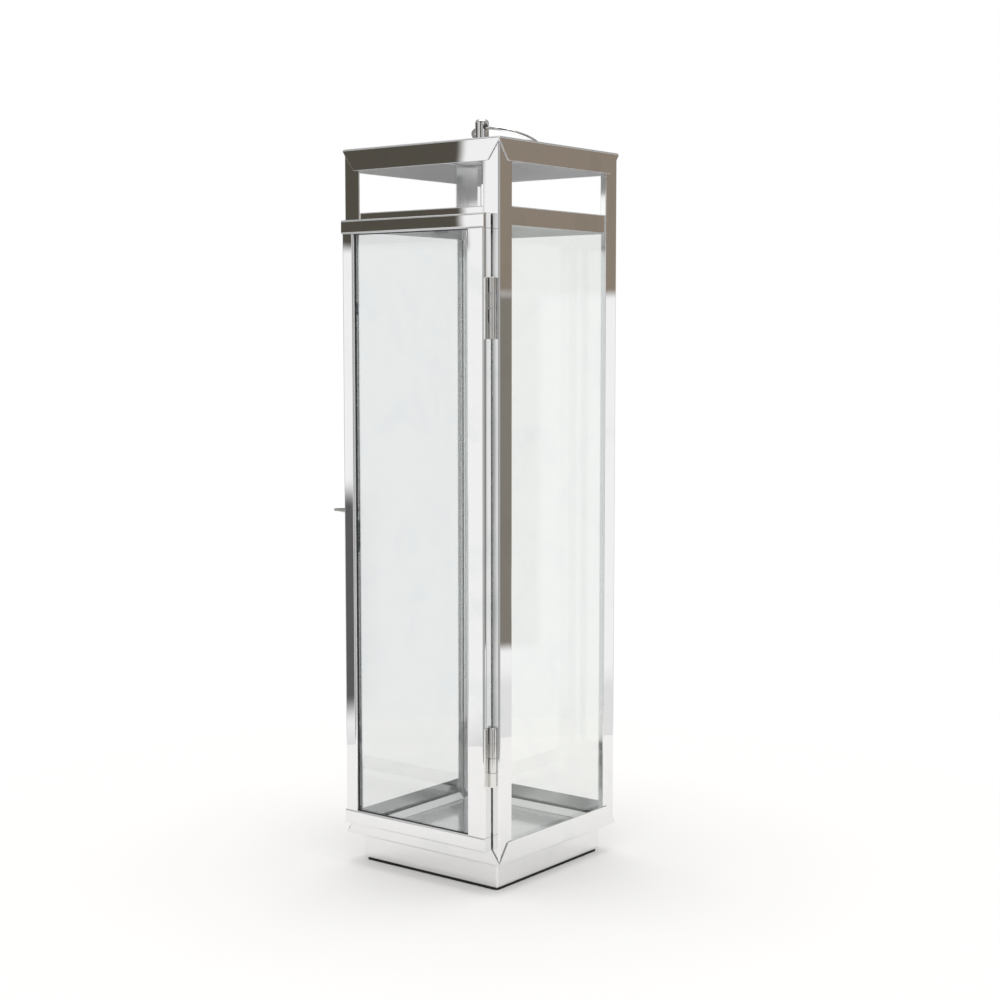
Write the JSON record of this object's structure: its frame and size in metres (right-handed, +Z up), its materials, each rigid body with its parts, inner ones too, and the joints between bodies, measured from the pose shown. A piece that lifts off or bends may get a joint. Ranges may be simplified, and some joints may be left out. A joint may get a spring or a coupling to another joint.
{
  "type": "candle lantern",
  "caption": "Tall square candle lantern of folded polished sheet steel with glazed sides, a hinged glazed door, open vents under the cap and a ring handle.",
  "frame": {"origin": "middle of the underside of the foot pad", "axes": "+Z up, the door faces -Y, +X to the right of a person facing the door"},
  "size_m": [0.1907, 0.1925, 0.6948],
  "materials": {
    "polished_sheet": "mirror-polished stainless sheet",
    "turned_steel": "turned and polished stainless steel",
    "hinge_steel": "rolled and polished steel",
    "plated_steel": "zinc-plated steel",
    "clear_glass": "clear float glass",
    "foot_pad": "matt black foam rubber",
    "glazing_seal": "black extruded rubber",
    "ferrite_magnet": "sintered ferrite"
  },
  "bodies": {
    "lantern_frame": {"base_pan": "polished_sheet", "foot_pad": "foot_pad", "front_header": "polished_sheet", "front_left_post": "polished_sheet", "front_right_post": "polished_sheet", "handle_stud": "turned_steel", "left_header": "polished_sheet", "left_pane": "clear_glass", "left_pane_bead": "polished_sheet", "lower_hinge_frame_leaf": "hinge_steel", "lower_hinge_pin": "hinge_steel", "pane_clips": "plated_steel", "plinth": "polished_sheet", "rear_header": "polished_sheet", "rear_left_post": "polished_sheet", "rear_pane": "clear_glass", "rear_pane_bead": "polished_sheet", "rear_right_post": "polished_sheet", "right_header": "polished_sheet", "right_pane": "clear_glass", "right_pane_bead": "polished_sheet", "strike_plate": "plated_steel", "stud_nut": "plated_steel", "stud_washer": "plated_steel", "top_cap": "polished_sheet", "upper_hinge_frame_leaf": "hinge_steel", "upper_hinge_pin": "hinge_steel"},
    "door": {"catch_magnet": "ferrite_magnet", "door_bottom_rail": "polished_sheet", "door_hinge_stile": "polished_sheet", "door_latch_stile": "polished_sheet", "door_pane": "clear_glass", "door_pane_clips": "plated_steel", "door_pull": "turned_steel", "door_seal": "glazing_seal", "door_top_rail": "polished_sheet", "lower_hinge_door_leaf": "hinge_steel", "pull_nut": "plated_steel", "upper_hinge_door_leaf": "hinge_steel"},
    "ring": {"ring_handle": "turned_steel"}
  },
  "joints": [
    {"name": "door_hinge", "type": "hinge", "parent": "lantern_frame", "child": "door", "pos_m": [0.0855, -0.0935, 0.3205], "axis": [0, 0, 1], "range_deg": [0, 135]},
    {"name": "ring_swing", "type": "hinge", "parent": "lantern_frame", "child": "ring", "pos_m": [0, 0, 0.687], "axis": [0.9848, -0.1736, 0], "range_deg": [0, 214.5]}
  ]
}
